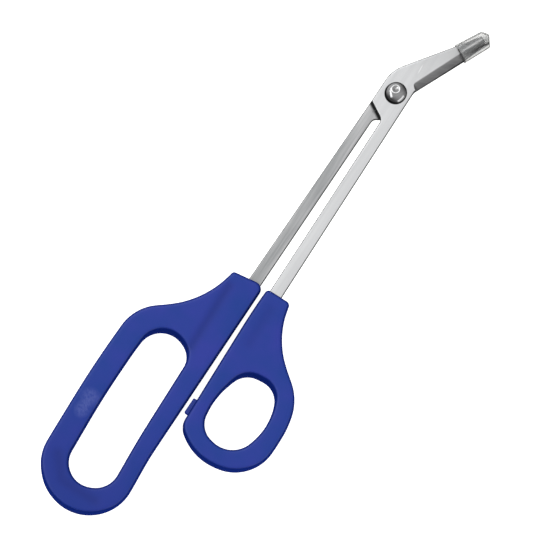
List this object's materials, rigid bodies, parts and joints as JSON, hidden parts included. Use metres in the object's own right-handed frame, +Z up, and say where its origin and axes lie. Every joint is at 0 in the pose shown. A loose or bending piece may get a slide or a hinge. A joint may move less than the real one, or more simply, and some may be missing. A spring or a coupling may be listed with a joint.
{
  "type": "long-handled toenail scissors",
  "caption": "Long-reach toenail scissors: moulded finger and thumb loops, slim flat steel shanks, a riveted pivot, short blades bent to one side and a clear guard over the tips.",
  "frame": {"origin": "on the pivot's axis, at the rivet tail's flat back face, which lies in one plane with the backs of both handles", "axes": "+Y along the shanks from the handles to the blades, +X towards the thumb handle's side, +Z up to the rivet's domed head, with the scissors lying flat"},
  "size_m": [0.0758, 0.2428, 0.0081],
  "materials": {
    "handle_plastic": "smooth moulded blue plastic with a soft sheen",
    "rear_steel": "stainless steel brushed along the shank",
    "front_steel": "fine satin stainless steel, hollow ground beside the cutting edge",
    "rivet_steel": "polished steel dome",
    "washer_steel": "plain steel",
    "clear_plastic": "clear soft plastic, slightly cloudy"
  },
  "bodies": {
    "finger_side": {"finger_handle": "handle_plastic", "rear_arm": "rear_steel", "pivot_rivet": "rivet_steel", "rivet_washer": "washer_steel"},
    "thumb_side": {"thumb_handle": "handle_plastic", "front_arm": "front_steel"},
    "guard": {"tip_guard": "clear_plastic"}
  },
  "joints": [
    {"name": "scissor_pivot", "type": "hinge", "parent": "finger_side", "child": "thumb_side", "pos_m": [0, 0, 0.004], "axis": [0, 0, 1], "range_deg": [-0.5, 28]},
    {"name": "tip_guard_pull", "type": "slide", "parent": "finger_side", "child": "guard", "axis": [0.3987, 0.9171, 0], "range_m": [-0.0016, 0.0835]}
  ],
  "couplings": [
    {"joint": "tip_guard_pull", "follows": "scissor_pivot", "m_per_rad": 0.17}
  ]
}
